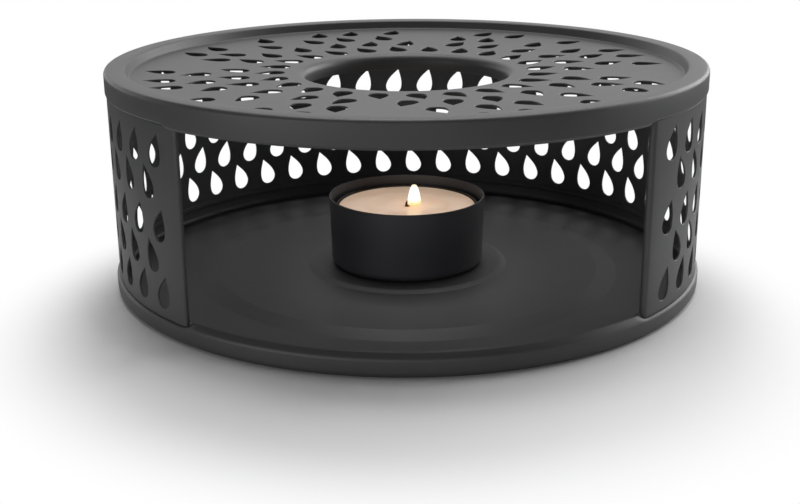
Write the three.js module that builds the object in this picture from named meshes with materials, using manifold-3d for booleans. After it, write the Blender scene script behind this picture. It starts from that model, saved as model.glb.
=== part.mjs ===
// Teapot warmer: a round perforated sheet stove with a loose tea light cup.
// Millimetres, +Z up. The origin is at the middle of the underside, and the open front faces -Y.

import * as THREE from "three";
import { mergeGeometries, mergeVertices } from "three/addons/utils/BufferGeometryUtils.js";
import Module from "manifold-3d";

const wasm = await Module();
wasm.setup();

// Driving dimensions of the body
const OVERALL_HEIGHT = 57.3;
const BODY_RADIUS = 77.5;
const SHEET = 0.5;
const CLEARANCE = 0.3;
const CUT_OVERRUN = 2;

// Tray: side a little wider than the body, rim that steps in behind the wall, raised middle and the cup's seat
const TRAY_RIM_HEIGHT = 6;
const TRAY_SHOULDER_HEIGHT = 4.6;
const TRAY_CORNER_RADIUS = 1.2;
const TRAY_FLARE = 0.4;
const TRAY_STEP_OUTER_RADIUS = 57;
const TRAY_STEP_INNER_RADIUS = 51.5;
const TRAY_STEP_RISE = 0.8;
const SEAT_FOOT_RADIUS = 27.2;
const SEAT_RADIUS = 25.4;
const SEAT_RISE = 0.6;

// Top plate: pot rim, perforated face, heat opening and skirt
const POT_RIM_WIDTH = 5.2;
const POT_RIM_SLOPE = 0.8;
const FACE_RECESS = 2.4;
const FACE_DISH = 1.1;
const EDGE_RADIUS = 1;
const HEAT_OPENING_RADIUS = 26.6;
const COLLAR_RADIUS = 2;
const COLLAR_DEPTH = 4;
const SKIRT_HEIGHT = 5.7;
const SKIRT_EDGE_RADIUS = 0.6;
const SKIRT_TONGUE = 0.8;

// Wall: plain bands at its ends and a facet for each column of holes between them
const WALL_INSET = 0.35;
const OPENING_ANGLE = 87.3;
const WALL_END_ANGLE = 4.4;
const WALL_FACETS = 71;

// Drop-shaped holes
const DROP_LENGTH = 8.2;
const DROP_WIDTH = 4.9;
const DROP_ARC_STEPS = 4;
const WALL_DROP_LEAN = 16;
const WALL_ROW_HEIGHTS = [11, 19.3, 27.4, 37.2, 45.2];
const FACE_DROP_LEAN = 16;
const FACE_SECTORS = 4;
const FACE_TURN = -1.1;
const FIRST_RING_MARGIN = 7.2;
const LAST_RING_MARGIN = 7.4;
const RING_SECTOR_SHARES = [
  [0.037, 0.203, 0.37, 0.537, 0.703, 0.87],
  [-0.014, 0.139, 0.281, 0.453, 0.628, 0.775],
  [0.072, 0.21, 0.329, 0.506, 0.696, 0.803],
  [0.031, 0.161, 0.261, 0.447, 0.639, 0.742],
];

// Tea light cup
const CUP_HEIGHT = 18.7;
const CUP_RIM_RADIUS = 21;
const CUP_FOOT_RADIUS = 20.5;
const CUP_CORNER_RADIUS = 1.2;

// Candle
const SHELL_THICKNESS = 0.3;
const SHELL_HEIGHT = 15.5;
const SHELL_GAP = 0.8;
const SHELL_CORNER_RADIUS = 1;
const WAX_DEPTH = 14.8;
const POOL_RADIUS = 9;
const POOL_DEPTH = 0.5;
const WAX_EDGE_RADIUS = 0.6;
const WICK_RADIUS = 0.7;
const WICK_SHOW = 2;
const SUSTAINER_RADIUS = 6;
const SUSTAINER_THICKNESS = 0.4;
const SUSTAINER_NECK_HEIGHT = 3.5;

// Fineness of the round shapes
const BODY_STEPS = 60;
const CUP_STEPS = 40;
const CANDLE_STEPS = 36;
const WICK_STEPS = 12;
const CORNER_STEPS = 2;

// Places that several pieces share
const trayInnerRadius = BODY_RADIUS + TRAY_FLARE - SHEET;
const wallOuterRadius = BODY_RADIUS - WALL_INSET;
const wallInnerRadius = wallOuterRadius - SHEET;
const tongueRadius = wallInnerRadius - CLEARANCE;
const trayFloor = SHEET;
const trayMiddle = trayFloor + TRAY_STEP_RISE;
const seatHeight = trayMiddle + SEAT_RISE;
const shoulder = TRAY_SHOULDER_HEIGHT - SHEET;
const skirtFoot = OVERALL_HEIGHT - SKIRT_HEIGHT;
const faceHeight = OVERALL_HEIGHT - FACE_RECESS;
const faceFoot = faceHeight - FACE_DISH;
const faceRadius = BODY_RADIUS - POT_RIM_WIDTH - POT_RIM_SLOPE;
const shellOuterRadius = CUP_FOOT_RADIUS - SHEET - SHELL_GAP;
const shellInnerRadius = shellOuterRadius - SHELL_THICKNESS;

const black = { color: 0x1b1b1d, metalness: 0.2 };
const powderCoat = new THREE.MeshStandardMaterial({ ...black, roughness: 0.55 });
const cupCoat = new THREE.MeshStandardMaterial({ ...black, roughness: 0.5 });
const shellLacquer = new THREE.MeshStandardMaterial({ color: 0x2a2a2c, roughness: 0.35, metalness: 0.8 });
const paraffin = new THREE.MeshStandardMaterial({ color: 0xead2b4, roughness: 0.45, metalness: 0 });
const cotton = new THREE.MeshStandardMaterial({ color: 0x3a2c22, roughness: 0.95, metalness: 0 });
const tinplate = new THREE.MeshStandardMaterial({ color: 0xb9bbbd, roughness: 0.35, metalness: 0.9 });

// A point of an outline, rounded by an arc where it has a radius
const corner = (x, y, radius = 0) => ({ at: new THREE.Vector2(x, y), radius });

// The points of an open line whose corners are rounded by short arcs
function roundedLine(corners, steps = CORNER_STEPS) {
  const points = [];
  corners.forEach(({ at, radius }, index) => {
    if (radius === 0) {
      points.push(at.clone());
      return;
    }
    const back = corners[index - 1].at.clone().sub(at).normalize();
    const ahead = corners[index + 1].at.clone().sub(at).normalize();
    const half = Math.acos(back.dot(ahead)) / 2;
    const centre = back.clone().add(ahead).normalize().multiplyScalar(radius / Math.sin(half)).add(at);
    const start = back.clone().multiplyScalar(radius / Math.tan(half)).add(at).sub(centre);
    const turn = (Math.PI - 2 * half) * Math.sign(back.cross(ahead));
    for (let step = 0; step <= steps; step += 1) {
      const spoke = start.clone().rotateAround(new THREE.Vector2(), (-turn * step) / steps);
      points.push(spoke.add(centre));
    }
  });
  return points;
}

// The other face of a sheet, a thickness to the right of the line that the first face follows
function offsetLine(line, thickness) {
  return line.map((point, index) => {
    const before = line[index - 1] ?? point;
    const after = line[index + 1] ?? point;
    const into = point.clone().sub(before);
    const out = after.clone().sub(point);
    const first = (into.length() === 0 ? out : into).clone().normalize();
    const second = (out.length() === 0 ? into : out).clone().normalize();
    const miter = first.clone().add(second).normalize();
    const reach = thickness / miter.dot(first);
    return new THREE.Vector2(miter.y, -miter.x).multiplyScalar(reach).add(point);
  });
}

// The closed outline of a sheet of even thickness, cut square at its ends
function sheetOutline(line, thickness) {
  const back = offsetLine(line, thickness).reverse();
  const start = line[0].x === 0 ? [] : [line[0].clone()];
  return [...line, ...back, ...start];
}

// A solid of revolution about Z, with its faces pointing out
function spin(outline, steps) {
  const geometry = new THREE.LatheGeometry(outline, steps);
  geometry.rotateX(Math.PI / 2);
  return closed(geometry);
}

// The same shape with shared vertices, turned right side out
function closed(geometry) {
  geometry.deleteAttribute("normal");
  geometry.deleteAttribute("uv");
  const merged = withoutSlivers(mergeVertices(geometry));
  if (signedVolume(merged) < 0) {
    const order = merged.index.array;
    for (let at = 0; at < order.length; at += 3) {
      [order[at], order[at + 1]] = [order[at + 1], order[at]];
    }
  }
  return merged;
}

// Drops the triangles that a lathe collapses where its outline meets the axis
function withoutSlivers(geometry) {
  const order = Array.from(geometry.index.array);
  const kept = [];
  for (let at = 0; at < order.length; at += 3) {
    const [a, b, c] = order.slice(at, at + 3);
    if (a !== b && b !== c && c !== a) {
      kept.push(a, b, c);
    }
  }
  geometry.setIndex(kept);
  return geometry;
}

// The volume inside a closed mesh, below zero where it is inside out
function signedVolume(geometry) {
  const places = geometry.attributes.position;
  const order = geometry.index.array;
  const [a, b, c] = [new THREE.Vector3(), new THREE.Vector3(), new THREE.Vector3()];
  let volume = 0;
  for (let at = 0; at < order.length; at += 3) {
    a.fromBufferAttribute(places, order[at]);
    b.fromBufferAttribute(places, order[at + 1]);
    c.fromBufferAttribute(places, order[at + 2]);
    volume += a.dot(b.cross(c)) / 6;
  }
  return volume;
}

function solid(geometry) {
  const vertProperties = new Float32Array(geometry.attributes.position.array);
  const triVerts = new Uint32Array(geometry.index.array);
  return new wasm.Manifold(new wasm.Mesh({ numProp: 3, vertProperties, triVerts }));
}

// What is left of a body once every cutter is taken out of it
function cut(body, cutters) {
  const tools = solid(mergeGeometries(cutters.map(closed)));
  const mesh = solid(body).subtract(tools).getMesh();
  const geometry = new THREE.BufferGeometry();
  geometry.setAttribute("position", new THREE.BufferAttribute(mesh.vertProperties, mesh.numProp));
  geometry.setIndex(new THREE.BufferAttribute(mesh.triVerts, 1));
  return geometry;
}

// A drop standing on its round end: the outline turns about the middle of that end
function dropShape(lean) {
  const radius = DROP_WIDTH / 2;
  const tipReach = DROP_LENGTH - radius;
  const shoulder = Math.acos(radius / tipReach);
  const sweep = 2 * (Math.PI - shoulder);
  const points = [new THREE.Vector2(0, tipReach)];
  for (let step = 0; step <= DROP_ARC_STEPS; step += 1) {
    const angle = Math.PI / 2 + shoulder + (sweep * step) / DROP_ARC_STEPS;
    points.push(new THREE.Vector2(radius * Math.cos(angle), radius * Math.sin(angle)));
  }
  const origin = new THREE.Vector2();
  points.forEach((point) => point.rotateAround(origin, THREE.MathUtils.degToRad(-lean)));
  return new THREE.Shape(points);
}

const dropSink = (DROP_LENGTH - DROP_WIDTH) / 2;
const cutDepth = SHEET + 2 * CUT_OVERRUN;
const dropCutter = (lean) => new THREE.ExtrudeGeometry(dropShape(lean), { depth: cutDepth, bevelEnabled: false });

// A cutter through the wall: angle 0 is the middle of the open front, growing towards +X as its lean does
function wallDrop(angle, height, lean) {
  const cutter = dropCutter(lean);
  cutter.rotateX(Math.PI / 2);
  cutter.translate(0, -(wallInnerRadius - CUT_OVERRUN), height - dropSink);
  cutter.rotateZ(THREE.MathUtils.degToRad(angle));
  return cutter;
}

// A cutter down through the perforated face, with its tip pointing out and leaning towards larger angles
function faceDrop(angle, radius, lean) {
  const cutter = dropCutter(-lean);
  cutter.rotateZ(Math.PI);
  cutter.translate(0, -(radius - dropSink), faceFoot - SHEET - CUT_OVERRUN);
  cutter.rotateZ(THREE.MathUtils.degToRad(angle));
  return cutter;
}

function baseTray() {
  const line = roundedLine([
    corner(0, seatHeight),
    corner(SEAT_RADIUS, seatHeight),
    corner(SEAT_FOOT_RADIUS, trayMiddle),
    corner(TRAY_STEP_INNER_RADIUS, trayMiddle),
    corner(TRAY_STEP_OUTER_RADIUS, trayFloor),
    corner(trayInnerRadius, trayFloor, TRAY_CORNER_RADIUS),
    corner(trayInnerRadius, shoulder),
    corner(tongueRadius - SHEET, shoulder),
    corner(tongueRadius - SHEET, TRAY_RIM_HEIGHT),
  ]);
  return spin(sheetOutline(line, SHEET), BODY_STEPS);
}

function perforatedWall() {
  const end = OPENING_ANGLE / 2;
  const first = end + WALL_END_ANGLE;
  const facet = (360 - 2 * first) / WALL_FACETS;
  const folds = Array.from({ length: WALL_FACETS + 1 }, (_, index) => first + facet * index);
  const arc = (radius) =>
    [end, ...folds, 360 - end].map((degrees) => {
      const angle = THREE.MathUtils.degToRad(degrees);
      return new THREE.Vector2(radius * Math.sin(angle), -radius * Math.cos(angle));
    });
  const plan = new THREE.Shape([...arc(wallOuterRadius), ...arc(wallInnerRadius).reverse()]);
  const height = skirtFoot - TRAY_SHOULDER_HEIGHT;
  const wall = new THREE.ExtrudeGeometry(plan, { depth: height, bevelEnabled: false });
  wall.translate(0, 0, TRAY_SHOULDER_HEIGHT);

  const drops = [];
  WALL_ROW_HEIGHTS.forEach((middle, row) => {
    const shifted = row % 2;
    const lean = shifted ? -WALL_DROP_LEAN : WALL_DROP_LEAN;
    for (let index = shifted; index < WALL_FACETS - shifted; index += 2) {
      drops.push(wallDrop(first + facet * (index + 0.5), middle, lean));
    }
  });
  return cut(closed(wall), drops);
}

function topPlate() {
  const line = roundedLine([
    corner(HEAT_OPENING_RADIUS, faceFoot - COLLAR_DEPTH),
    corner(HEAT_OPENING_RADIUS, faceFoot, COLLAR_RADIUS),
    corner(faceRadius, faceHeight),
    corner(faceRadius + POT_RIM_SLOPE, OVERALL_HEIGHT),
    corner(BODY_RADIUS, OVERALL_HEIGHT, EDGE_RADIUS),
    corner(BODY_RADIUS, skirtFoot, SKIRT_EDGE_RADIUS),
    corner(tongueRadius, skirtFoot),
    corner(tongueRadius, skirtFoot - SKIRT_TONGUE),
  ]);
  const plate = spin(sheetOutline(line, SHEET), BODY_STEPS);

  const firstRing = HEAT_OPENING_RADIUS + COLLAR_RADIUS + FIRST_RING_MARGIN;
  const lastRing = faceRadius - LAST_RING_MARGIN;
  const sector = 360 / FACE_SECTORS;
  const rings = RING_SECTOR_SHARES.length;
  const drops = [];
  RING_SECTOR_SHARES.forEach((shares, ring) => {
    const radius = firstRing + ((lastRing - firstRing) * ring) / (rings - 1);
    const lean = ring % 2 ? -FACE_DROP_LEAN : FACE_DROP_LEAN;
    for (let turn = 0; turn < FACE_SECTORS; turn += 1) {
      shares.forEach((share) => drops.push(faceDrop(FACE_TURN + sector * (turn + share), radius, lean)));
    }
  });
  return cut(plate, drops);
}

function teaLightHolder() {
  const line = roundedLine([
    corner(0, SHEET),
    corner(CUP_FOOT_RADIUS - SHEET, SHEET, CUP_CORNER_RADIUS),
    corner(CUP_RIM_RADIUS - SHEET, CUP_HEIGHT),
  ]);
  return spin(sheetOutline(line, SHEET), CUP_STEPS);
}

function teaLightShell() {
  const line = roundedLine([
    corner(0, SHELL_THICKNESS),
    corner(shellInnerRadius, SHELL_THICKNESS, SHELL_CORNER_RADIUS),
    corner(shellInnerRadius, SHELL_HEIGHT),
  ]);
  return spin(sheetOutline(line, SHELL_THICKNESS), CANDLE_STEPS);
}

// The wax rests on the shell's floor, with room in it for the wick and its holder
function teaLightWax() {
  const radius = shellInnerRadius - CLEARANCE;
  const floor = SHELL_THICKNESS;
  const top = floor + WAX_DEPTH;
  const neckRoom = WICK_RADIUS + CLEARANCE + SUSTAINER_THICKNESS + CLEARANCE;
  const discRoof = floor + SUSTAINER_THICKNESS + CLEARANCE;
  const neckRoof = discRoof + SUSTAINER_NECK_HEIGHT;
  const bore = WICK_RADIUS + CLEARANCE;
  const start = corner(SUSTAINER_RADIUS + CLEARANCE, floor);
  const line = roundedLine([
    start,
    corner(radius, floor, SHELL_CORNER_RADIUS),
    corner(radius, top, WAX_EDGE_RADIUS),
    corner(POOL_RADIUS, top),
    corner(POOL_RADIUS / 2, top - POOL_DEPTH),
    corner(bore, top - POOL_DEPTH),
    corner(bore, neckRoof),
    corner(neckRoom, neckRoof),
    corner(neckRoom, discRoof),
    corner(SUSTAINER_RADIUS + CLEARANCE, discRoof),
    start,
  ]);
  return spin(line, CANDLE_STEPS);
}

function teaLightWick() {
  const height = WAX_DEPTH - POOL_DEPTH + WICK_SHOW;
  const wick = new THREE.CylinderGeometry(WICK_RADIUS, WICK_RADIUS, height, WICK_STEPS);
  wick.rotateX(Math.PI / 2);
  wick.translate(0, 0, SHELL_THICKNESS + height / 2);
  return closed(wick);
}

// A disc with a short neck round the wick
function wickSustainer() {
  const bore = WICK_RADIUS + CLEARANCE;
  const top = SHELL_THICKNESS + SUSTAINER_THICKNESS;
  const start = corner(bore, SHELL_THICKNESS);
  const line = roundedLine([
    start,
    corner(SUSTAINER_RADIUS, SHELL_THICKNESS),
    corner(SUSTAINER_RADIUS, top),
    corner(bore + SUSTAINER_THICKNESS, top),
    corner(bore + SUSTAINER_THICKNESS, top + SUSTAINER_NECK_HEIGHT),
    corner(bore, top + SUSTAINER_NECK_HEIGHT),
    start,
  ]);
  return spin(line, WICK_STEPS);
}

function part(name, geometry, material) {
  const mesh = new THREE.Mesh(geometry, material);
  mesh.name = name;
  return mesh;
}

const warmer = new THREE.Group();
warmer.add(part("base_tray", baseTray(), powderCoat));
warmer.add(part("perforated_wall", perforatedWall(), powderCoat));
warmer.add(part("top_plate", topPlate(), powderCoat));

const cup = new THREE.Group();
cup.position.z = seatHeight;
cup.add(part("tea_light_holder", teaLightHolder(), cupCoat));
warmer.add(cup);

const candle = new THREE.Group();
candle.position.z = SHEET;
candle.add(part("tea_light_shell", teaLightShell(), shellLacquer));
candle.add(part("tea_light_wax", teaLightWax(), paraffin));
candle.add(part("tea_light_wick", teaLightWick(), cotton));
candle.add(part("wick_sustainer", wickSustainer(), tinplate));
cup.add(candle);

export default warmer;
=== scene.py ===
"""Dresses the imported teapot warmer: punched and spun black sheet, a cup, and the lit tea light in it.

Shapes are worked out in millimetres, in the part's own frame, and put into the scene in metres.
"""

from __future__ import annotations

import logging
import math
from collections.abc import Callable, Iterable, Sequence
from dataclasses import dataclass, field
from enum import Enum
from itertools import pairwise

import bmesh
import bpy
from mathutils import Matrix, Quaternion, Vector, noise
from mathutils.kdtree import KDTree

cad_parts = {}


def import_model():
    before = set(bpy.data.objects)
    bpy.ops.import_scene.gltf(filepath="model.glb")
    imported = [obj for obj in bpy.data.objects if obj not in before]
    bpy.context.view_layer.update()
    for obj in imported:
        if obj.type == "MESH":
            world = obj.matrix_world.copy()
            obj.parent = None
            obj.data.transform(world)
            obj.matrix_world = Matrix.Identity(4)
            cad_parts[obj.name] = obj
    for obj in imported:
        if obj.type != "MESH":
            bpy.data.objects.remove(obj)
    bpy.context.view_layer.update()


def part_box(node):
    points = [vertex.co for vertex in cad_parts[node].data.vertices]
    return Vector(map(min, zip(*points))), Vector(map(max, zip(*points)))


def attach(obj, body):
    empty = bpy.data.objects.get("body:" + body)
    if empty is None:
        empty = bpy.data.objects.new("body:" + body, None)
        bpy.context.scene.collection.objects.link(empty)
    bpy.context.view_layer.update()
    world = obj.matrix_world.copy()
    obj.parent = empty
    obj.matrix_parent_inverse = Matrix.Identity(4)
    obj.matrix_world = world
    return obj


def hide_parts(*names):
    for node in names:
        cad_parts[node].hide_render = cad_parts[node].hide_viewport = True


LOG = logging.getLogger("teapot_warmer")
MM = 0.001
FULL_TURN = 2 * math.pi
WELD = 0.005
CUT_REACH = WELD / 5
JOIN_REACH = 4 * WELD
ARC_STEPS = 6
END_STEPS = 4
SHEET = 0.5
BLACK = (0.0, 0.0, 0.0)
WHITE = (1.0, 1.0, 1.0)
Colour = tuple[float, float, float]


class Body(Enum):
    """The bodies of the frame that pieces ride on."""

    WARMER = "body"
    HOLDER = "holder"
    CANDLE = "tea_light"


class Slot(Enum):
    """The record's material slots."""

    COAT = "powder_coat"
    CUP = "cup_coat"
    SHELL = "shell_lacquer"
    WAX = "paraffin_wax"
    WICK = "cotton_wick"
    TIN = "tinplate"


class Wire:
    """A number in a material's nodes, which Python sums grow into Math nodes."""

    def __init__(self, shader: Shader, socket: bpy.types.NodeSocket) -> None:
        """Wraps one output socket.

        Args:
            shader: The material that the socket belongs to.
            socket: The output to go on from.
        """
        self.shader = shader
        self.socket = socket

    def _math(self, operation: str, first: Wire | float, second: Wire | float = 0.0) -> Wire:
        """Adds one Math node and returns its result."""
        made = self.shader.node("ShaderNodeMath", {"operation": operation}, {0: first, 1: second})
        return Wire(self.shader, made.outputs[0])

    def __add__(self, other: Wire | float) -> Wire:
        """Returns the sum."""
        return self._math("ADD", self, other)

    def __radd__(self, other: float) -> Wire:
        """Returns the sum, with the number first."""
        return self._math("ADD", other, self)

    def __sub__(self, other: Wire | float) -> Wire:
        """Returns the difference."""
        return self._math("SUBTRACT", self, other)

    def __rsub__(self, other: float) -> Wire:
        """Returns the difference, with the number first."""
        return self._math("SUBTRACT", other, self)

    def __mul__(self, other: Wire | float) -> Wire:
        """Returns the product."""
        return self._math("MULTIPLY", self, other)

    def __rmul__(self, other: float) -> Wire:
        """Returns the product, with the number first."""
        return self._math("MULTIPLY", other, self)

    def __truediv__(self, other: Wire | float) -> Wire:
        """Returns the quotient."""
        return self._math("DIVIDE", self, other)

    def __pow__(self, other: float) -> Wire:
        """Returns the power."""
        return self._math("POWER", self, other)

    def root(self) -> Wire:
        """Returns the square root."""
        return self._math("SQRT", self)

    def clamped(self) -> Wire:
        """Returns the value held between 0 and 1."""
        return self._math("MAXIMUM", self._math("MINIMUM", self, 1.0), 0.0)


class Shader:
    """The nodes of one material or world, made through one method."""

    def __init__(self, name: str, tree: bpy.types.NodeTree | None = None) -> None:
        """Starts with no nodes.

        Args:
            name: The material's name.
            tree: The world's nodes, where it isn't a material.
        """
        self.material = None
        if tree is None:
            self.material = bpy.data.materials.new(name)
            self.material.use_nodes = True
            tree = self.material.node_tree
        self.tree = tree
        self.tree.nodes.clear()

    def node(
        self, kind: str, settings: dict | None = None, sockets: dict | None = None
    ) -> bpy.types.Node:
        """Adds a node.

        Args:
            kind: Blender's name for the node's type.
            settings: Its properties, or a ramp's stops as pairs of place and colour.
            sockets: What goes into its inputs, as values, wires or sockets.

        Returns:
            The node.
        """
        made = self.tree.nodes.new(kind)
        for key, value in (settings or {}).items():
            if key == "stops":
                self._set_stops(made.color_ramp, value)
            else:
                setattr(made, key, value)
        for key, value in (sockets or {}).items():
            source = value.socket if isinstance(value, Wire) else value
            if isinstance(source, bpy.types.NodeSocket):
                self.tree.links.new(source, made.inputs[key])
            else:
                made.inputs[key].default_value = source
        return made

    @staticmethod
    def _set_stops(ramp: bpy.types.ColorRamp, stops: Sequence[tuple[float, Colour]]) -> None:
        """Gives a colour ramp its stops, in order."""
        while len(ramp.elements) < len(stops):
            ramp.elements.new(1.0)
        for element, (place, colour) in zip(ramp.elements, stops):
            element.position = place
            element.color = (*colour, 1.0)

    def place(self) -> bpy.types.NodeSocket:
        """Returns the point on the piece, in metres in the part's frame."""
        return self.node("ShaderNodeTexCoord").outputs["Object"]

    def axes(self) -> tuple[Wire, Wire, Wire]:
        """Returns the point's three coordinates in millimetres."""
        split = self.node("ShaderNodeSeparateXYZ", sockets={0: self.place()})
        x, y, z = (Wire(self, out) / MM for out in split.outputs)
        return x, y, z

    def grain(self, across: float, detail: float = 2.0) -> Wire:
        """Returns a cloudy value from 0 to 1.

        Args:
            across: The size of one cloud in millimetres.
            detail: How many finer layers it has.
        """
        made = self.node(
            "ShaderNodeTexNoise",
            sockets={"Vector": self.place(), "Scale": 1 / (across * MM), "Detail": detail},
        )
        return Wire(self, made.outputs["Fac"])

    def blend(self, share: Wire, first: object, second: object) -> bpy.types.NodeSocket:
        """Returns a colour between two, by a share from 0 to 1."""
        colours = {
            6: (*first, 1.0) if isinstance(first, tuple) else first,
            7: (*second, 1.0) if isinstance(second, tuple) else second,
        }
        made = self.node("ShaderNodeMix", {"data_type": "RGBA"}, {0: share, **colours})
        return made.outputs[2]

    def ramp(self, share: Wire, stops: Sequence[tuple[float, Colour]]) -> bpy.types.NodeSocket:
        """Returns the colour of a ramp at a share from 0 to 1."""
        return self.node("ShaderNodeValToRGB", {"stops": stops}, {0: share}).outputs["Color"]

    def bump(self, height: Wire, depth: float, strength: float = 1.0) -> bpy.types.NodeSocket:
        """Returns a normal that follows a height.

        Args:
            height: A value from 0 to 1.
            depth: The height in millimetres that 1 stands for.
            strength: How much of it shows.
        """
        sockets = {"Strength": strength, "Distance": depth * MM, "Height": height}
        made = self.node("ShaderNodeBump", sockets=sockets)
        return made.outputs["Normal"]

    def surface(self, sockets: dict) -> bpy.types.Material:
        """Closes the material with a Principled shader.

        Args:
            sockets: What goes into the shader's inputs.

        Returns:
            The finished material.
        """
        made = self.node("ShaderNodeBsdfPrincipled", sockets=sockets)
        self.node("ShaderNodeOutputMaterial", sockets={"Surface": made.outputs[0]})
        return self.material


@dataclass(frozen=True)
class PowderCoat:
    """Fine satin powder coat on sheet."""

    name: str
    colour: Colour = (0.03, 0.03, 0.032)
    roughness: float = 0.5
    specular: float = 0.5
    clouds_lighter: float = 1.35
    clouds_duller: float = 0.08
    grain_duller: float = 0.12
    cloud: float = 24.0
    soft_grain: float = 1.1
    fine_grain: float = 0.22
    fine_share: float = 0.6
    depth: float = 0.006
    relief: float = 0.55

    def material(self) -> bpy.types.Material:
        """Returns the finish as nodes: a pebbled skin over faint clouds of shade and gloss."""
        shader = Shader(self.name)
        cloud = shader.grain(self.cloud, 3.0)
        fine = shader.grain(self.fine_grain)
        soft = shader.grain(self.soft_grain)
        light = tuple(self.clouds_lighter * part for part in self.colour)
        duller = (cloud - 0.5) * self.clouds_duller + (fine - 0.5) * self.grain_duller
        skin = fine * self.fine_share + soft * (1 - self.fine_share)
        return shader.surface(
            {
                "Base Color": shader.blend(cloud, self.colour, light),
                "Roughness": self.roughness + duller,
                "Specular IOR Level": self.specular,
                "Normal": shader.bump(skin, self.depth, self.relief),
            }
        )


@dataclass(frozen=True)
class Wax:
    """Soft pale wax, lit through by its flame, with a painted flame glow and a glossy molten top."""

    name: str
    colour: Colour = (0.66, 0.47, 0.34)
    pale: Colour = (0.72, 0.54, 0.41)
    painted_flame_glow: Colour = (1.0, 0.68, 0.46)
    painted_glow_strength: float = 0.09
    cloud: float = 5.0
    ripple: float = 0.8
    gloss: float = 0.16
    clouds_duller: float = 0.1
    ripples_duller: float = 0.06
    ripple_share: float = 0.3
    ripple_depth: float = 0.03
    relief: float = 0.2
    depth_lit: float = 3.0
    share_lit: float = 0.35
    lit_tint: Colour = (1.0, 0.55, 0.3)

    def material(self) -> bpy.types.Material:
        """Returns the finish as nodes: faint clouds of shade under a wet top, with a painted flame glow.
        """
        shader = Shader(self.name)
        cloud = shader.grain(self.cloud, 3.0)
        fine = shader.grain(self.ripple)
        duller = cloud * self.clouds_duller + (fine - 0.5) * self.ripples_duller
        skin = cloud * (1 - self.ripple_share) + fine * self.ripple_share
        return shader.surface(
            {
                "Base Color": shader.blend(cloud, self.colour, self.pale),
                "Roughness": self.gloss + duller,
                "Subsurface Weight": self.share_lit,
                "Subsurface Radius": self.lit_tint,
                "Subsurface Scale": self.depth_lit * MM,
                # Painted light: the wax gives off a faint warm glow of its own, standing in for the
                # flame's light.
                "Emission Color": (*self.painted_flame_glow, 1.0),
                "Emission Strength": self.painted_glow_strength,
                "Normal": shader.bump(skin, self.ripple_depth, self.relief),
            }
        )


@dataclass(frozen=True)
class ThinMetal:
    """Thin pressed metal with faint drawing marks."""

    name: str
    colour: Colour
    metallic: float
    roughness: float
    mark: float = 0.7
    marks_lighter: float = 1.3
    marks_duller: float = 0.2
    mark_depth: float = 0.01
    relief: float = 0.4

    def material(self) -> bpy.types.Material:
        """Returns the finish as nodes: fine drawing marks in colour and gloss."""
        shader = Shader(self.name)
        mark = shader.grain(self.mark, 4.0)
        light = tuple(min(1.0, self.marks_lighter * part) for part in self.colour)
        return shader.surface(
            {
                "Base Color": shader.blend(mark, self.colour, light),
                "Metallic": self.metallic,
                "Roughness": self.roughness + (mark - 0.5) * self.marks_duller,
                "Normal": shader.bump(mark, self.mark_depth, self.relief),
            }
        )


@dataclass(frozen=True)
class CharredCotton:
    """A wick: waxed cotton below, charred above, with an ember at the tip."""

    name: str
    foot: float
    top: float
    waxed: Colour = (0.75, 0.62, 0.42)
    scorched: Colour = (0.12, 0.07, 0.04)
    charred: Colour = (0.012, 0.01, 0.01)
    ember: Colour = (1.0, 0.25, 0.04)
    scorched_start: float = 0.35
    charred_start: float = 0.6
    ember_start: float = 0.7
    ember_strength: float = 1.5
    roughness: float = 0.95
    wax_gloss: float = 0.3
    fibre: float = 0.15
    fibre_depth: float = 0.05

    def material(self) -> bpy.types.Material:
        """Returns the finish as nodes, which follow the wick's height."""
        shader = Shader(self.name)
        _, _, z = shader.axes()
        share = ((z - self.foot) / (self.top - self.foot)).clamped()
        colours = [
            (0.0, self.waxed),
            (self.scorched_start, self.scorched),
            (self.charred_start, self.charred),
        ]
        return shader.surface(
            {
                "Base Color": shader.ramp(share, colours),
                "Roughness": self.roughness - (1 - share) * self.wax_gloss,
                "Emission Color": shader.ramp(share, [(self.ember_start, BLACK), (1.0, self.ember)]),
                "Emission Strength": self.ember_strength,
                "Normal": shader.bump(shader.grain(self.fibre, 3.0), self.fibre_depth),
            }
        )


@dataclass(frozen=True)
class Fire:
    """A candle flame, as light given off by a thin closed skin."""

    name: str
    foot: float
    top: float
    stops: tuple[tuple[float, Colour], ...] = (
        (0.0, (0.68, 0.46, 0.2)),
        (0.16, (0.8, 0.68, 0.34)),
        (0.3, (1.0, 0.98, 0.85)),
        (0.75, (1.0, 1.0, 0.98)),
        (1.0, (0.85, 0.72, 0.48)),
    )
    strength: float = 1.3
    swirl: float = 1.5
    swirl_share: float = 0.15

    def material(self) -> bpy.types.Material:
        """Returns the finish as nodes, which follow the flame's height."""
        shader = Shader(self.name)
        _, _, z = shader.axes()
        share = (z - self.foot) / (self.top - self.foot)
        stirred = share + (shader.grain(self.swirl) - 0.5) * self.swirl_share
        return shader.surface(
            {
                "Base Color": (*BLACK, 1.0),
                "Specular IOR Level": 0.0,
                "Roughness": 1.0,
                "Emission Color": shader.ramp(stirred.clamped(), self.stops),
                "Emission Strength": self.strength,
            }
        )


@dataclass(frozen=True)
class Corner:
    """A corner of a spun outline: distance from the axis, height and rounding, in millimetres."""

    r: float
    z: float
    rounding: float = 0.0


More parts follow.
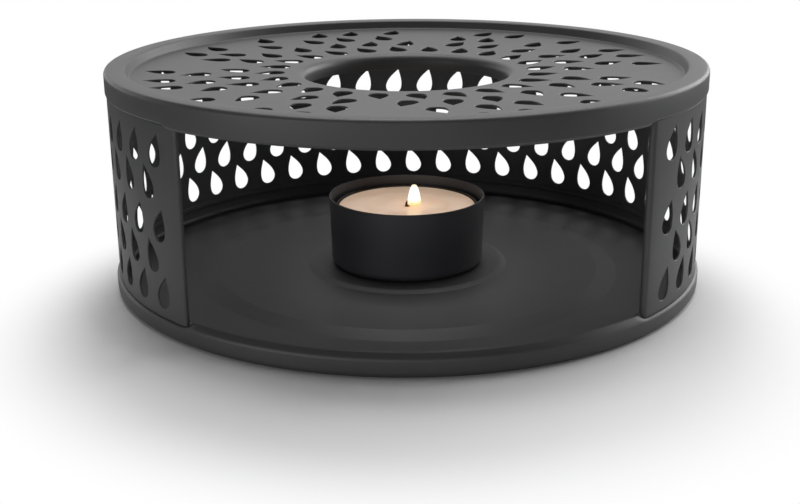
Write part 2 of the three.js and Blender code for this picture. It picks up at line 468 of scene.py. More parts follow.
def rounded_line(corners: Sequence[Corner]) -> list[Vector]:
    """Rounds the corners of an open line by arcs.

    Args:
        corners: The line's corners in order.

    Returns:
        The line's points.
    """
    points: list[Vector] = []
    for index, corner in enumerate(corners):
        at = Vector((corner.r, corner.z))
        if corner.rounding == 0:
            points.append(at)
            continue
        back = (Vector((corners[index - 1].r, corners[index - 1].z)) - at).normalized()
        ahead = (Vector((corners[index + 1].r, corners[index + 1].z)) - at).normalized()
        half = math.acos(max(-1.0, min(1.0, back.dot(ahead)))) / 2
        centre = at + (back + ahead).normalized() * (corner.rounding / math.sin(half))
        spoke = at + back * (corner.rounding / math.tan(half)) - centre
        turn = -math.copysign(math.pi - 2 * half, back.x * ahead.y - back.y * ahead.x)
        for step in range(ARC_STEPS + 1):
            points.append(centre + Matrix.Rotation(turn * step / ARC_STEPS, 2) @ spoke)
    return points


def offset_line(line: Sequence[Vector], thickness: float) -> list[Vector]:
    """Moves a line a thickness to its right, mitred at its corners.

    Args:
        line: The points of the first face.
        thickness: The distance to the other face.

    Returns:
        The points of the other face, in the same order.
    """
    moved: list[Vector] = []
    for index, point in enumerate(line):
        before = line[max(index - 1, 0)]
        after = line[min(index + 1, len(line) - 1)]
        first = ((point - before) if index else (after - point)).normalized()
        second = ((after - point) if index < len(line) - 1 else (point - before)).normalized()
        miter = (first + second).normalized()
        moved.append(point + Vector((miter.y, -miter.x)) * (thickness / miter.dot(first)))
    return moved


def round_end(near: Vector, far: Vector) -> list[Vector]:
    """Closes a sheet's cut end with a half round, bulging to the left of the way from near to far.

    Args:
        near: The end of the first face.
        far: The end of the other face.

    Returns:
        The points between the two, without them.
    """
    middle = (near + far) / 2
    spoke = near - middle
    turns = (math.pi * step / END_STEPS for step in range(1, END_STEPS))
    return [middle + Matrix.Rotation(turn, 2) @ spoke for turn in turns]


def sheet_outline(line: Sequence[Vector], thickness: float) -> list[Vector]:
    """Gives a sheet's first face its other face and a round free end.

    Args:
        line: The points of the first face, ending at the free edge.
        thickness: The sheet's thickness, to the right of the line.

    Returns:
        The outline's points, open at the start.
    """
    back = offset_line(line, thickness)[::-1]
    return [*line, *round_end(line[-1], back[0]), *back]


def spun(outline: Sequence[Vector], steps: int, closed: bool = False) -> bmesh.types.BMesh:
    """Spins an outline once round the upright axis.

    Args:
        outline: The points of the outline.
        steps: The number of facets round the axis.
        closed: Whether the outline's end joins its start.

    Returns:
        The mesh, in millimetres.
    """
    mesh = bmesh.new()
    verts = [mesh.verts.new((point.x, 0.0, point.y)) for point in outline]
    edges = [mesh.edges.new(pair) for pair in pairwise(verts)]
    if closed:
        edges.append(mesh.edges.new((verts[-1], verts[0])))
    bmesh.ops.spin(
        mesh,
        geom=[*verts, *edges],
        cent=(0, 0, 0),
        axis=(0, 0, 1),
        dvec=(0, 0, 0),
        angle=FULL_TURN,
        steps=steps,
        use_merge=True,
    )
    bmesh.ops.remove_doubles(mesh, verts=mesh.verts, dist=WELD)
    bmesh.ops.dissolve_degenerate(mesh, edges=mesh.edges, dist=CUT_REACH)
    bmesh.ops.recalc_face_normals(mesh, faces=mesh.faces)
    return mesh


def placed(
    mesh: bmesh.types.BMesh, name: str, material: bpy.types.Material, sharp: float = 25.0
) -> bpy.types.Object:
    """Makes a finished mesh an object of the scene, in metres.

    Args:
        mesh: The mesh, in millimetres, which this frees.
        name: The piece's name.
        material: Its finish.
        sharp: The angle in degrees above which an edge is shaded sharp.

    Returns:
        The object, at the origin.
    """
    bmesh.ops.scale(mesh, vec=(MM, MM, MM), verts=mesh.verts)
    data = bpy.data.meshes.new(name)
    mesh.to_mesh(data)
    mesh.free()
    data.polygons.foreach_set("use_smooth", [True] * len(data.polygons))
    data.set_sharp_from_angle(angle=math.radians(sharp))
    data.materials.append(material)
    piece = bpy.data.objects.new(name, data)
    bpy.context.scene.collection.objects.link(piece)
    return piece


def ridden(piece: bpy.types.Object, body: Body) -> None:
    """Lets a finished piece ride on its body, and reports it."""
    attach(piece, body.value)
    LOG.info("%s: %d faces, rides on %s", piece.name, len(piece.data.polygons), body.value)


def stands_for(piece: bpy.types.Object, node: str, body: Body) -> None:
    """Lets a piece ride on its body in place of its node.

    Args:
        piece: The finished piece.
        node: The node that it stands for.
        body: The body that carries it.
    """
    ridden(piece, body)
    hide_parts(node)


def sliced(mesh: bmesh.types.BMesh, at: Vector, across: Vector) -> None:
    """Cuts every face that a plane crosses, and keeps both sides.

    Args:
        mesh: The mesh to cut.
        at: A point of the plane.
        across: The way that the plane faces.
    """
    geom = [*mesh.verts, *mesh.edges, *mesh.faces]
    bmesh.ops.bisect_plane(mesh, geom=geom, dist=CUT_REACH, plane_co=at, plane_no=across)


def vessel(box: tuple[Vector, Vector], sheet: float, foot: Corner, steps: int) -> bmesh.types.BMesh:
    """Spins a round open cup of sheet.

    Args:
        box: The lowest and highest corners of its room, in millimetres.
        sheet: The sheet's thickness.
        foot: The inner corner at the foot of its side, above the cup's underside.
        steps: The number of facets round the axis.

    Returns:
        The mesh, in millimetres.
    """
    low, high = box
    floor = low.z + foot.z
    corners_up = [
        Corner(0, floor),
        Corner(foot.r, floor, foot.rounding),
        Corner(high.x - sheet, high.z - sheet / 2),
    ]
    return spun(sheet_outline(rounded_line(corners_up), sheet), steps)


def room(node: str) -> tuple[Vector, Vector]:
    """Returns the lowest and highest corners of a node's box, in millimetres."""
    low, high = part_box(node)
    return low / MM, high / MM


def direction(azimuth: float, elevation: float) -> Vector:
    """Returns the way to a place round the object.

    Args:
        azimuth: Degrees from the front, growing to the right.
        elevation: Degrees above the floor.
    """
    turn, rise = math.radians(azimuth), math.radians(elevation)
    return Vector((math.sin(turn) * math.cos(rise), -math.cos(turn) * math.cos(rise), math.sin(rise)))


@dataclass(frozen=True)
class FlushFront:
    """Where the open front begins and ends: there a spun sheet's edge swings out of its seam."""

    left: float
    right: float
    swing: float = 1.3

    def share(self, angle: float) -> float:
        """Returns how far the sheet has swung out, from 0 to 1.

        Args:
            angle: The place round the axis in degrees, 0 at the front's middle, growing towards +X.
        """
        inside = min(angle - self.left, self.right - angle) / self.swing + 0.5
        held = max(0.0, min(1.0, inside))
        return held * held * (3 - 2 * held)

    def apply(self, mesh: bmesh.types.BMesh, seam: Sequence[Vector], front: Sequence[Vector]) -> None:
        """Moves a spun sheet over the open front from one outline to another.

        Args:
            mesh: The sheet as it was spun.
            seam: The outline that it was spun from.
            front: The outline over the open front, point for point.
        """
        tree = KDTree(len(seam))
        for index, point in enumerate(seam):
            tree.insert(point.to_3d(), index)
        tree.balance()
        for vert in mesh.verts:
            reach = vert.co.xy.length
            share = self.share(math.degrees(math.atan2(vert.co.x, -vert.co.y)))
            if share == 0 or reach == 0:
                continue
            _, index, _ = tree.find(Vector((reach, vert.co.z, 0)))
            move = (front[index] - seam[index]) * share
            vert.co.xy *= 1 + move.x / reach
            vert.co.z += move.y


@dataclass(frozen=True)
class Drop:
    """The drop-shaped hole, standing on its round end."""

    length: float = 8.2
    width: float = 4.9
    bulge_share: float = 0.42
    tip_share: float = 0.76
    tip_width_share: float = 0.3
    circle_handle: float = 0.5523

    @property
    def sink(self) -> float:
        """Returns how far the round end's middle lies below the drop's own middle."""
        return (self.length - self.width) / 2

    def spline(self, curve: bpy.types.Curve, at: Vector, turn: float) -> None:
        """Adds the drop to a flat curve as a smooth closed spline.

        Args:
            curve: The flat curve, in millimetres.
            at: The middle of the drop.
            turn: The way its tip points, in radians left of up.
        """
        radius = self.width / 2
        reach = self.length - radius
        round_handle = radius * self.circle_handle
        tip = (radius * self.tip_width_share, reach * self.tip_share)
        bulge = reach * self.bulge_share
        knots = [
            ((0, reach), tip, (-tip[0], tip[1])),
            ((-radius, 0), (-radius, bulge), (-radius, -round_handle)),
            ((0, -radius), (-round_handle, -radius), (round_handle, -radius)),
            ((radius, 0), (radius, -round_handle), (radius, bulge)),
        ]
        spin = Matrix.Rotation(turn, 2)
        spline = curve.splines.new("BEZIER")
        spline.bezier_points.add(len(knots) - 1)
        spline.use_cyclic_u = True
        for point, places in zip(spline.bezier_points, knots):
            point.handle_left_type = point.handle_right_type = "FREE"
            moved = [at + spin @ (Vector(place) - Vector((0, self.sink))) for place in places]
            point.co, point.handle_left, point.handle_right = (place.to_3d() for place in moved)


@dataclass(frozen=True)
class PunchedSheet:
    """A flat punched sheet whose edges are softened by punching and coating."""

    thickness: float = SHEET
    softening: float = 0.12
    curve_steps: int = 6

    def mesh(
        self, rims: Iterable[Sequence[Vector]], punch: Callable[[bpy.types.Curve], None]
    ) -> bmesh.types.BMesh:
        """Cuts the sheet.

        Args:
            rims: The sheet's outer outline and any large openings, as points.
            punch: Adds the holes to the flat curve.

        Returns:
            The sheet lying on the XY plane, half its thickness above and below, in millimetres.
        """
        curve = bpy.data.curves.new("sheet", "CURVE")
        curve.dimensions = "2D"
        curve.fill_mode = "BOTH"
        curve.resolution_u = self.curve_steps
        curve.extrude = self.thickness / 2 - self.softening
        curve.bevel_depth = self.softening
        curve.bevel_resolution = 0
        curve.offset = -self.softening
        for rim in rims:
            spline = curve.splines.new("POLY")
            spline.points.add(len(rim) - 1)
            spline.use_cyclic_u = True
            for point, place in zip(spline.points, rim):
                point.co = (*place, 0.0, 1.0)
        punch(curve)
        holder = bpy.data.objects.new("sheet", curve)
        bpy.context.scene.collection.objects.link(holder)
        graph = bpy.context.evaluated_depsgraph_get()
        flat = bpy.data.meshes.new_from_object(holder.evaluated_get(graph))
        mesh = bmesh.new()
        mesh.from_mesh(flat)
        bpy.data.objects.remove(holder)
        bpy.data.curves.remove(curve)
        bpy.data.meshes.remove(flat)
        bmesh.ops.remove_doubles(mesh, verts=mesh.verts, dist=WELD)
        return mesh


@dataclass
class PerforatedWall:
    """The rolled wall: most of a ring with five rows of leaning drops and a fold at each end."""

    finish: bpy.types.Material
    sheet: PunchedSheet = field(default_factory=PunchedSheet)
    drop: Drop = field(default_factory=Drop)
    opening_angle: float = 87.3
    end_angle: float = 4.4
    columns: int = 71
    row_heights: tuple[float, ...] = (11.0, 19.3, 27.4, 37.2, 45.2)
    row_turns: tuple[float, ...] = (0.1, 0.5)
    lean: float = 16.0
    right_fold: float = 0.75
    left_fold: float = 0.4
    leaf: float = 4.0
    strips: int = 142
    fold_steps: int = 10

    def __post_init__(self) -> None:
        """Takes the places of the wall from the frame."""
        self.low, self.high = room("perforated_wall")
        self.radius = self.high.x - self.sheet.thickness / 2
        half = math.radians(self.opening_angle / 2)
        self.start = half + (self.right_fold + self.sheet.thickness / 2) / self.radius
        end = FULL_TURN - half - (self.left_fold + self.sheet.thickness / 2) / self.radius
        self.length = self.radius * (end - self.start)

    def punch(self, curve: bpy.types.Curve) -> None:
        """Adds every row of drops, each row half a column on from the last and leaning the other way.

        Args:
            curve: The flat curve, in millimetres.
        """
        first = self.opening_angle / 2 + self.end_angle
        column = (360 - 2 * first) / self.columns
        for row, height in enumerate(self.row_heights):
            shifted = row % 2
            turn = math.radians(self.lean if shifted else -self.lean)
            for index in range(shifted, self.columns - shifted, 2):
                angle = math.radians(first + column * (index + 0.5) + self.row_turns[shifted])
                at = Vector((self.radius * (angle - self.start), height))
                self.drop.spline(curve, at, turn)

    def rolled(self, place: Vector) -> Vector:
        """Rolls a point of the flat sheet up into the wall, and folds it in beyond the wall's ends.

        Args:
            place: The point, with the sheet's outside up.

        Returns:
            The point in the part's frame, in millimetres.
        """
        beyond = max(-place.x, place.x - self.length, 0.0)
        towards_front, fold = (-1, self.right_fold) if place.x < 0 else (1, self.left_fold)
        turn = min(beyond / fold, math.pi)
        side = math.cos(turn)
        inward = fold * (1 - side)
        along = (fold + place.z) * math.sin(turn) - max(0.0, beyond - math.pi * fold)
        held = min(max(place.x, 0.0), self.length)
        reach = self.radius - inward + place.z * side
        angle = self.start + (held + towards_front * along) / self.radius
        return Vector((reach * math.sin(angle), -reach * math.cos(angle), place.y))

    def build(self) -> None:
        """Makes the wall as one piece in place of its node."""
        first = -math.pi * self.right_fold - self.leaf
        last = self.length + math.pi * self.left_fold + self.leaf
        places = ((first, self.low.z), (last, self.low.z), (last, self.high.z), (first, self.high.z))
        mesh = self.sheet.mesh([[Vector(place) for place in places]], self.punch)
        cuts = [self.length * strip / self.strips for strip in range(self.strips + 1)]
        for step in range(1, self.fold_steps + 1):
            turn = math.pi * step / self.fold_steps
            cuts += [-turn * self.right_fold, self.length + turn * self.left_fold]
        for place in cuts:
            sliced(mesh, Vector((place, 0, 0)), Vector((1, 0, 0)))
        for vert in mesh.verts:
            vert.co = self.rolled(vert.co)
        bmesh.ops.recalc_face_normals(mesh, faces=mesh.faces)
        piece = placed(mesh, "wall_sheet", self.finish)
        stands_for(piece, "perforated_wall", Body.WARMER)


@dataclass
class TopPlate:
    """The pressed top: pot rim, recessed punched face, heat opening with its collar, and skirt."""

    finish: bpy.types.Material
    sheet: PunchedSheet = field(default_factory=PunchedSheet)
    drop: Drop = field(default_factory=Drop)
    rim_width: float = 5.2
    rim_slope: float = 0.8
    recess: float = 2.4
    dish: float = 1.1
    edge_rounding: float = 1.0
    inner_edge_rounding: float = 0.7
    face_rounding: float = 0.6
    opening_radius: float = 26.6
    collar_rounding: float = 2.0
    collar_share: float = 1.3
    collar_depth: float = 4.0
    skirt_height: float = 5.7
    skirt_edge_rounding: float = 0.6
    tongue: float = 0.9
    tongue_inset: float = 1.15
    tongue_rounding: float = 0.12
    front_edge_lift: float = 0.15
    front_edge_bend: float = 0.7
    front: FlushFront = field(default_factory=lambda: FlushFront(-46.3, 42.9))
    first_ring_margin: float = 7.2
    last_ring_margin: float = 7.4
    lean: float = 16.0
    sectors: int = 4
    steps: int = 360
    face_cuts: int = 36
    face_turn: float = -1.1
    ring_sector_shares: tuple[tuple[float, ...], ...] = (
        (0.037, 0.203, 0.37, 0.537, 0.703, 0.87),
        (-0.014, 0.139, 0.281, 0.453, 0.628, 0.775),
        (0.072, 0.21, 0.329, 0.506, 0.696, 0.803),
        (0.031, 0.161, 0.261, 0.447, 0.639, 0.742),
    )

    def __post_init__(self) -> None:
        """Takes the outer sizes from the frame."""
        _, high = room("top_plate")
        self.radius = high.x
        self.top = high.z
        self.face = self.top - self.recess
        self.face_radius = self.radius - self.rim_width - self.rim_slope
        self.outer_weld = self.face_radius - 2 * self.face_rounding
        self.inner_weld = self.opening_radius + self.collar_share * self.collar_rounding

    def face_at(self, radius: float) -> float:
        """Returns the height of the dished face at a distance from the axis."""
        fall = (self.face_radius - radius) / (self.face_radius - self.opening_radius)
        return self.face - self.dish * fall

    def circle(self, radius: float) -> list[Vector]:
        """Returns the points of a circle that match the spun pieces' facets."""
        turns = (FULL_TURN * step / self.steps for step in range(self.steps))
        return [Vector((radius * math.cos(turn), radius * math.sin(turn))) for turn in turns]

    def punch(self, curve: bpy.types.Curve) -> None:
        """Adds the rings of drops to the face, leaning by turns.

        Args:
            curve: The flat curve, in millimetres.
        """
        first = self.opening_radius + self.collar_rounding + self.first_ring_margin
        last = self.face_radius - self.last_ring_margin
        rings = len(self.ring_sector_shares)
        for ring, shares in enumerate(self.ring_sector_shares):
            radius = first + (last - first) * ring / (rings - 1)
            lean = math.radians(-self.lean if ring % 2 else self.lean)
            for sector in range(self.sectors):
                for share in shares:
                    angle = math.radians(self.face_turn) + FULL_TURN * (sector + share) / self.sectors
                    at = Vector((radius * math.sin(angle), -radius * math.cos(angle)))
                    self.drop.spline(curve, at, math.pi + angle + lean)

    def face_sheet(self) -> bmesh.types.BMesh:
        """Returns the punched face, cut along spokes so that it dishes evenly, and open at both rims."""
        softening = self.sheet.softening
        rims = [self.circle(self.outer_weld + softening), self.circle(self.inner_weld - softening)]
        mesh = self.sheet.mesh(rims, self.punch)
        inside, outside = self.inner_weld - softening / 2, self.outer_weld + softening / 2
        waste = [vert for vert in mesh.verts if not inside < vert.co.xy.length < outside]
        bmesh.ops.delete(mesh, geom=waste, context="VERTS")
        for cut in range(self.face_cuts):
            turn = math.pi * cut / self.face_cuts
            sliced(mesh, Vector(), Vector((math.cos(turn), math.sin(turn), 0)))
        for vert in mesh.verts:
            vert.co.z += self.face_at(vert.co.xy.length) - self.sheet.thickness / 2
        return mesh

    def rim_outline(self, foot: Sequence[Corner]) -> list[Vector]:
        """Returns the outline of the pot rim and skirt.

        Args:
            foot: The last corners, at the skirt's foot.
        """
        line = [
            Corner(self.outer_weld, self.face_at(self.outer_weld)),
            Corner(self.face_radius, self.face, self.face_rounding),
            Corner(self.face_radius + self.rim_slope, self.top, self.inner_edge_rounding),
            Corner(self.radius, self.top, self.edge_rounding),
            *foot,
        ]
        return sheet_outline(rounded_line(line), self.sheet.thickness)

    def rim_and_skirt(self) -> bmesh.types.BMesh:
        """Returns the spun pot rim and skirt, which steps in behind the wall but not over the front."""
        foot = self.top - self.skirt_height
        inset = self.radius - self.tongue_inset
        behind_wall = [
            Corner(self.radius, foot, self.skirt_edge_rounding),
            Corner(inset, foot, self.tongue_rounding),
            Corner(inset, foot - self.tongue),
        ]
        bend = self.front_edge_bend
        edge = foot - self.tongue
        over_front = [
            Corner(self.radius, edge + bend, self.skirt_edge_rounding),
            Corner(self.radius - bend / 2, edge + self.front_edge_lift, self.tongue_rounding),
            Corner(self.radius - bend, edge),
        ]
        seam = self.rim_outline(behind_wall)
        mesh = spun(seam, self.steps)
        self.front.apply(mesh, seam, self.rim_outline(over_front))
        return mesh

    def collar(self) -> bmesh.types.BMesh:
        """Returns the spun collar of the heat opening, open towards the face."""
        edge = self.face_at(self.opening_radius)
        line = rounded_line(
            [
                Corner(self.inner_weld, self.face_at(self.inner_weld)),
                Corner(self.opening_radius, edge, self.collar_rounding),
                Corner(self.opening_radius, edge - self.collar_depth),
            ]
        )
        return spun(sheet_outline(line, -self.sheet.thickness), self.steps)

    def build(self) -> None:
        """Makes the plate as one piece in place of its node."""
        whole = bmesh.new()
        for section in (self.face_sheet(), self.rim_and_skirt(), self.collar()):
            data = bpy.data.meshes.new("section")
            section.to_mesh(data)
            section.free()
            whole.from_mesh(data)
            bpy.data.meshes.remove(data)
        bmesh.ops.remove_doubles(whole, verts=whole.verts, dist=JOIN_REACH)
        bmesh.ops.recalc_face_normals(whole, faces=whole.faces)
        piece = placed(whole, "top_sheet", self.finish)
        stands_for(piece, "top_plate", Body.WARMER)


@dataclass
class BaseTray:
    """The pressed tray: its rim that steps in behind the wall, its raised middle and the cup's seat."""

    finish: bpy.types.Material
    sheet: float = SHEET
    rim_corner: float = 1.2
    shoulder_height: float = 4.6
    rim_inset: float = 1.55
    shoulder_rounding: float = 0.3
    inset_rounding: float = 0.6
    front_bend: float = 1.0
    step_outer: float = 57.0
    step_inner: float = 51.5
    step_rise: float = 0.8
    seat_foot: float = 27.2
    seat_radius: float = 25.4
    seat_rise: float = 0.6
    press_rounding: float = 3.0
    seat_rounding: float = 1.5
    front: FlushFront = field(default_factory=lambda: FlushFront(-43.0, 43.0))
    steps: int = 360

    def outline(self, inner: float, rim: Sequence[Corner]) -> list[Vector]:
        """Returns the tray's outline.

        Args:
            inner: The inner radius of its upright side.
            rim: The last corners, at the rim.
        """
        floor = self.sheet
        middle = floor + self.step_rise
        seat = middle + self.seat_rise
        line = [
            Corner(0, seat),
            Corner(self.seat_radius, seat, self.seat_rounding),
            Corner(self.seat_foot, middle, self.seat_rounding),
            Corner(self.step_inner, middle, self.press_rounding),
            Corner(self.step_outer, floor, self.press_rounding),
            Corner(inner, floor, self.rim_corner),
            *rim,
        ]
        return sheet_outline(rounded_line(line), self.sheet)

    def build(self) -> None:
        """Makes the tray as one piece in place of its node."""
        _, high = room("base_tray")
        inner = high.x - self.sheet
        inset = inner - self.rim_inset
        shoulder = self.shoulder_height - self.sheet
        behind_wall = [
            Corner(inner, shoulder, self.shoulder_rounding),
            Corner(inset, shoulder, self.inset_rounding),
            Corner(inset, high.z - self.sheet / 2),
        ]
        crest = high.z - self.sheet
        over_front = [
            Corner(inner, crest - self.front_bend, self.front_bend),
            Corner(inner - self.front_bend, crest, self.shoulder_rounding),
            Corner(inner - 2 * self.front_bend, crest),
        ]
        seam = self.outline(inner, behind_wall)
        mesh = spun(seam, self.steps)
        self.front.apply(mesh, seam, self.outline(inner, over_front))
        piece = placed(mesh, "tray_sheet", self.finish)
        stands_for(piece, "base_tray", Body.WARMER)


@dataclass
class Cup:
    """The loose round cup that holds the candle."""

    finish: bpy.types.Material
    sheet: float = SHEET
    foot_radius: float = 20.5
    foot_rounding: float = 1.2
    steps: int = 128

    def build(self) -> None:
        """Makes the cup as one piece in place of its node."""
        foot = Corner(self.foot_radius - self.sheet, self.sheet, self.foot_rounding)
        mesh = vessel(room("tea_light_holder"), self.sheet, foot, self.steps)
        piece = placed(mesh, "cup_sheet", self.finish)
        stands_for(piece, "tea_light_holder", Body.HOLDER)


@dataclass
class Candle:
    """The tea light: shell, wax, wick, the wick's holder and the flame."""

    lacquer: ThinMetal = ThinMetal("dark_lacquer", (0.03, 0.03, 0.032), metallic=0.6, roughness=0.38)
    tin: ThinMetal = ThinMetal("pressed_tin", (0.6, 0.6, 0.62), metallic=1.0, roughness=0.3)
    shell_sheet: float = 0.3
    shell_rounding: float = 1.0
    clearance: float = 0.3
    pool_radius: float = 9.0
    pool_slope: float = 2.7
    pool_depth: float = 0.5
    wax_edge: float = 0.6
    wax_swell: float = 0.05
    wax_swell_reach: float = 4.0
    wick_radius: float = 0.55
    wick_sides: int = 12
    wick_strands: int = 4
    wick_groove: float = 0.22
    wick_twist: float = 20.0
    wick_rings: int = 26
    wick_curl: float = 0.9
    neck_sheet: float = 0.4
    disc_sheet: float = 0.2
    disc_slope: float = 0.2
    disc_rounding: float = 0.3
    flame_lean: float = 2.0
    flame_foot_rise: float = 0.25
    flame_foot_height: float = 0.35
    flame_foot_share: float = 0.75
    flame_tip: float = 23.0
    flame_radius: float = 1.95
    flame_swell: float = 0.38
    flame_rings: int = 28
    flame_light: float = 0.0008
    flame_colour: Colour = (1.0, 0.62, 0.32)
    steps: int = 128
    small_steps: int = 48

    def __post_init__(self) -> None:
        """Takes the places of the candle's pieces from the frame."""
        self.wax_low, self.wax_high = room("tea_light_wax")
        self.wick_low, self.wick_high = room("tea_light_wick")
        self.pool = self.wax_high.z - self.pool_depth
        self.bore = self.wick_radius + self.clearance

    def shell(self) -> None:
        """Makes the thin shell round the wax."""
        box = room("tea_light_shell")
        foot = Corner(box[1].x - self.shell_sheet, self.shell_sheet, self.shell_rounding)
        mesh = vessel(box, self.shell_sheet, foot, self.steps)
        piece = placed(mesh, "shell_sheet", self.lacquer.material())
        stands_for(piece, "tea_light_shell", Body.CANDLE)

    def wax(self) -> None:
        """Makes the wax with its molten hollow and a faintly uneven top."""
        radius = self.wax_high.x
        top = self.wax_high.z
        line = rounded_line(
            [
                Corner(self.bore, self.wax_low.z),
                Corner(radius, self.wax_low.z, self.shell_rounding),
                Corner(radius, top, self.wax_edge),
                Corner(self.pool_radius + self.pool_slope, top, self.pool_radius),
                Corner(self.pool_radius - self.pool_slope, self.pool, self.pool_radius),
                Corner(self.bore, self.pool),
            ]
        )
        mesh = spun(line, self.steps, closed=True)
        for vert in mesh.verts:
            if vert.co.z > self.pool - self.clearance and vert.co.xy.length < radius - self.wax_edge:
                vert.co.z -= self.wax_swell * (1 + noise.noise(vert.co / self.wax_swell_reach))
        piece = placed(mesh, "wax_fill", Wax("candle_wax").material())
        stands_for(piece, "tea_light_wax", Body.CANDLE)

    def wick(self) -> None:
        """Makes the braided wick, curling over a little above the wax."""
        mesh = bmesh.new()
        rise = (self.wick_high.z - self.wick_low.z) / self.wick_rings
        sides = self.wick_sides
        made = bmesh.ops.create_circle(mesh, cap_ends=True, radius=self.wick_radius, segments=sides)
        sides_per_strand = sides // self.wick_strands
        for index, vert in enumerate(made["verts"]):
            if index % sides_per_strand == 0:
                vert.co *= 1 - self.wick_groove
        bmesh.ops.translate(mesh, vec=(0, 0, self.wick_low.z), verts=mesh.verts)
        face = mesh.faces[:]
        turn = Matrix.Rotation(math.radians(self.wick_twist), 3, "Z")
        for _ in range(self.wick_rings):
            made = bmesh.ops.extrude_face_region(mesh, geom=face)["geom"]
            bmesh.ops.delete(mesh, geom=face, context="FACES_ONLY")
            face = [item for item in made if isinstance(item, bmesh.types.BMFace)]
            verts = [item for item in made if isinstance(item, bmesh.types.BMVert)]
            bmesh.ops.translate(mesh, vec=(0, 0, rise), verts=verts)
            bmesh.ops.rotate(mesh, cent=(0, 0, 0), matrix=turn, verts=verts)
        for vert in mesh.verts:
            above = max(0.0, vert.co.z - self.pool)
            vert.co.x += self.wick_curl * (above / (self.wick_high.z - self.pool)) ** 2
        bmesh.ops.recalc_face_normals(mesh, faces=mesh.faces)
        finish = CharredCotton("wick_cotton", self.pool - 1, self.wick_high.z).material()
        piece = placed(mesh, "wick_braid", finish, sharp=60.0)
        stands_for(piece, "tea_light_wick", Body.CANDLE)

    def sustainer(self) -> None:
        """Makes the little disc and neck that hold the wick."""
        low, high = room("wick_sustainer")
        neck = self.bore + self.neck_sheet
        line = rounded_line(
            [
                Corner(high.x, low.z + self.disc_sheet),
                Corner(neck, low.z + self.disc_sheet + self.disc_slope, self.disc_rounding),
                Corner(neck, high.z),
                Corner(self.bore, high.z),
                Corner(self.bore, low.z),
                Corner(high.x, low.z),
            ]
        )
        mesh = spun(line, self.small_steps, closed=True)
        piece = placed(mesh, "sustainer_press", self.tin.material())
        stands_for(piece, "wick_sustainer", Body.CANDLE)

    def flame(self) -> None:
        """Makes the flame, wide at its foot and drawn in to its tip, and the small lamp in it."""
        foot = self.pool + self.flame_foot_rise
        widest = foot + self.flame_foot_height
        points = [Vector((0, foot)), Vector((self.flame_radius * self.flame_foot_share, foot))]
        for step in range(self.flame_rings + 1):
            share = step / self.flame_rings
            radius = self.flame_radius * (1 - share) ** self.flame_swell
            points.append(Vector((radius, widest + (self.flame_tip - widest) * share)))
        mesh = spun(points, self.small_steps)
        bmesh.ops.translate(mesh, vec=(self.flame_lean, 0, 0), verts=mesh.verts)
        fire = Fire("candle_fire", foot, self.flame_tip)
        piece = placed(mesh, "flame_body", fire.material(), sharp=80.0)
        piece.visible_shadow = False
        ridden(piece, Body.CANDLE)
        lamp = bpy.data.lights.new("flame_light", "POINT")
        lamp.color = self.flame_colour
        lamp.energy = self.flame_light
        lamp.shadow_soft_size = self.flame_radius * MM
        spot = bpy.data.objects.new("flame_light", lamp)
        spot.location = Vector((self.flame_lean, 0, (foot + self.flame_tip) / 2)) * MM
        bpy.context.scene.collection.objects.link(spot)
        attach(spot, Body.CANDLE.value)

    def build(self) -> None:
        """Makes every piece of the candle."""
        self.shell()
        self.wax()
        self.wick()
        self.sustainer()
        self.flame()


@dataclass(frozen=True)
class Lamp:
    """A soft rectangular lamp that faces the object.

    Its place and half sizes are in degrees as the object sees them, 0 in front and 90 to the right.
    """

    name: str
    azimuth: float
    elevation: float
    half_width: float
    half_height: float
    radiance: float
    distance: float = 800.0
    aim_height: float = 30.0

    def build(self) -> None:
        """Adds the lamp to the scene."""
        towards = direction(self.azimuth, self.elevation)
        data = bpy.data.lights.new(self.name, "AREA")
        data.shape = "RECTANGLE"
        data.size = 2 * self.distance * math.tan(math.radians(self.half_width)) * MM
        data.size_y = 2 * self.distance * math.tan(math.radians(self.half_height)) * MM
        data.energy = math.pi * self.radiance * data.size * data.size_y
        lamp = bpy.data.objects.new(self.name, data)
        lamp.location = (towards * self.distance + Vector((0, 0, self.aim_height))) * MM
        lamp.rotation_euler = towards.to_track_quat("Z", "Y").to_euler()
        lamp.visible_camera = False
        bpy.context.scene.collection.objects.link(lamp)


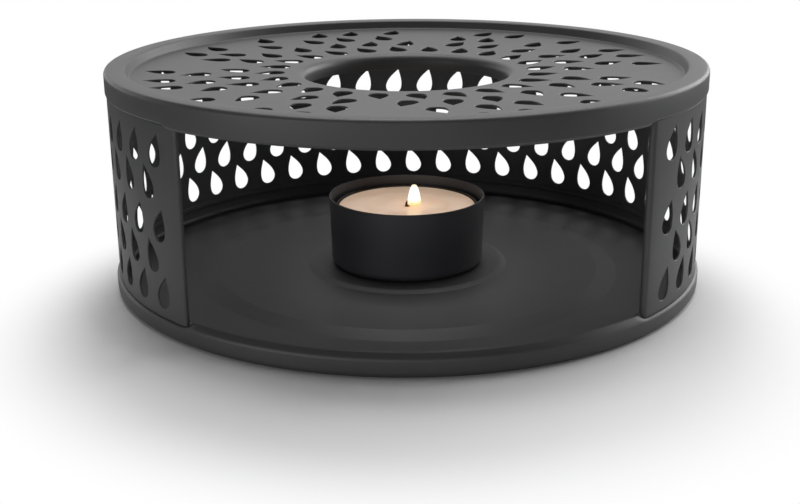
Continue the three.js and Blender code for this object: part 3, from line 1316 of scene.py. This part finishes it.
@dataclass
class Studio:
    """A pale floor, soft light and the photograph's viewing angle."""

    picture_width: float = 800.0
    focal_pixels: float = 1245.0
    distance: float = 342.6
    elevation: float = 18.114
    azimuth: float = -1.905
    roll: float = -0.384
    aim_height: float = 3.781
    sideways: float = -1.958
    sensor: float = 36.0
    nearest_seen: float = 10.0
    floor_size: float = 8000.0
    floor_tone: float = 0.8
    # Painted pool of light: the floor's dark tone as seen in reflections, beyond the reaches below.
    painted_far_floor_tone: float = 0.04
    painted_pool_reach: float = 120.0
    painted_dark_reach: float = 260.0
    floor_middle: float = -35.0
    shadow_reach: float = 74.0
    white_reach: float = 108.0
    room_light: float = 0.04
    lamps: tuple[Lamp, ...] = (
        Lamp("overhead_lamp", 175, 67, 18, 18, 5.1),
        Lamp("zenith_lamp", 180, 88, 16, 12, 3.4),
        Lamp("backdrop_lamp", 180, 19, 35, 15, 1.1),
        Lamp("back_right_lamp", 125, 22, 20, 18, 5.6),
        Lamp("low_right_lamp", 90, 4, 24, 4, 4.0),
        Lamp("low_left_lamp", -130, 10, 24, 10, 1.6),
        Lamp("front_left_lamp", -48, 5, 22, 5, 6.0),
        Lamp("low_front_lamp", 0, 3, 22, 3, 4.0),
    )

    def camera(self) -> None:
        """Sets the camera at the photograph's place and angle."""
        back = direction(self.azimuth, self.elevation)
        right = direction(self.azimuth + 90, 0)
        data = bpy.data.cameras.new("camera")
        data.sensor_width = self.sensor
        data.lens = self.sensor * self.focal_pixels / self.picture_width
        data.clip_start = self.nearest_seen * MM
        camera = bpy.data.objects.new("camera", data)
        aim = Vector((0, 0, self.aim_height)) + right * self.sideways
        camera.location = (aim + back * self.distance) * MM
        level = (-back).to_track_quat("-Z", "Y")
        tilt = Quaternion((0, 0, 1), math.radians(self.roll))
        camera.rotation_euler = (level @ tilt).to_euler()
        bpy.context.scene.collection.objects.link(camera)
        bpy.context.scene.camera = camera

    @staticmethod
    def ramp_between(distance: Wire, start: float, end: float) -> Wire:
        """Returns a smooth share that grows from 0 at one distance to 1 at another.

        Args:
            distance: The distance, in millimetres.
            start: Where the share begins to grow.
            end: Where it reaches 1.
        """
        share = ((distance - start) / (end - start)).clamped()
        return share * share * (3 - 2 * share)

    def floor(self) -> None:
        """Lays the pale floor, which keeps the object's shadow and runs out to white for the camera; in
        reflections it carries a painted pool of light, dark farther out.
        """
        mesh = bmesh.new()
        bmesh.ops.create_grid(mesh, x_segments=1, y_segments=1, size=self.floor_size / 2)
        shader = Shader("floor_paper")
        x, y, _ = shader.axes()
        rays = shader.node("ShaderNodeLightPath").outputs
        seen = Wire(shader, rays["Is Camera Ray"])
        mirrored = Wire(shader, rays["Is Glossy Ray"])
        # Painted light: in reflections only, the floor fades from pale to dark away from the object, a
        # painted pool of light.
        painted_dark_share = self.ramp_between((x**2 + y**2).root(), self.painted_pool_reach, self.painted_dark_reach)
        near, far = (self.floor_tone,) * 3, (self.painted_far_floor_tone,) * 3
        tone = shader.blend(mirrored * painted_dark_share, near, far)
        away = (x**2 + (y - self.floor_middle) ** 2).root()
        open_floor = self.ramp_between(away, self.shadow_reach, self.white_reach)
        paper = shader.surface(
            {
                "Base Color": shader.blend(open_floor * seen, tone, BLACK),
                "Roughness": 1.0,
                "Specular IOR Level": 0.0,
                "Emission Color": shader.blend(open_floor * seen, BLACK, WHITE),
                "Emission Strength": 1.0,
            }
        )
        placed(mesh, "floor", paper)

    def world(self) -> None:
        """Lights the room dimly and evenly, and shows white behind the object."""
        world = bpy.data.worlds.new("room")
        bpy.context.scene.world = world
        world.use_nodes = True
        shader = Shader("room", world.node_tree)
        seen = Wire(shader, shader.node("ShaderNodeLightPath").outputs["Is Camera Ray"])
        colour = shader.blend(seen, (self.room_light,) * 3, WHITE)
        background = shader.node("ShaderNodeBackground", sockets={"Color": colour, "Strength": 1.0})
        shader.node("ShaderNodeOutputWorld", sockets={"Surface": background.outputs[0]})

    def build(self) -> None:
        """Sets up the whole studio."""
        self.camera()
        self.floor()
        self.world()
        for lamp in self.lamps:
            lamp.build()
        bpy.context.scene.view_settings.view_transform = "Standard"


def corners(box: tuple[Vector, Vector]) -> list[list[float]]:
    """Returns a box's two corners as plain lists of numbers."""
    return [list(corner) for corner in box]


def main() -> None:
    """Builds every piece round the frame."""
    logging.basicConfig(level=logging.INFO, format="%(message)s")
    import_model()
    Studio().build()
    coat = PowderCoat("black_powder_coat").material()
    cup_coat = PowderCoat("cup_powder_coat", colour=(0.026, 0.026, 0.03)).material()
    BaseTray(coat).build()
    PerforatedWall(coat).build()
    TopPlate(coat).build()
    Cup(cup_coat).build()
    Candle().build()


if __name__ == "__main__":
    main()
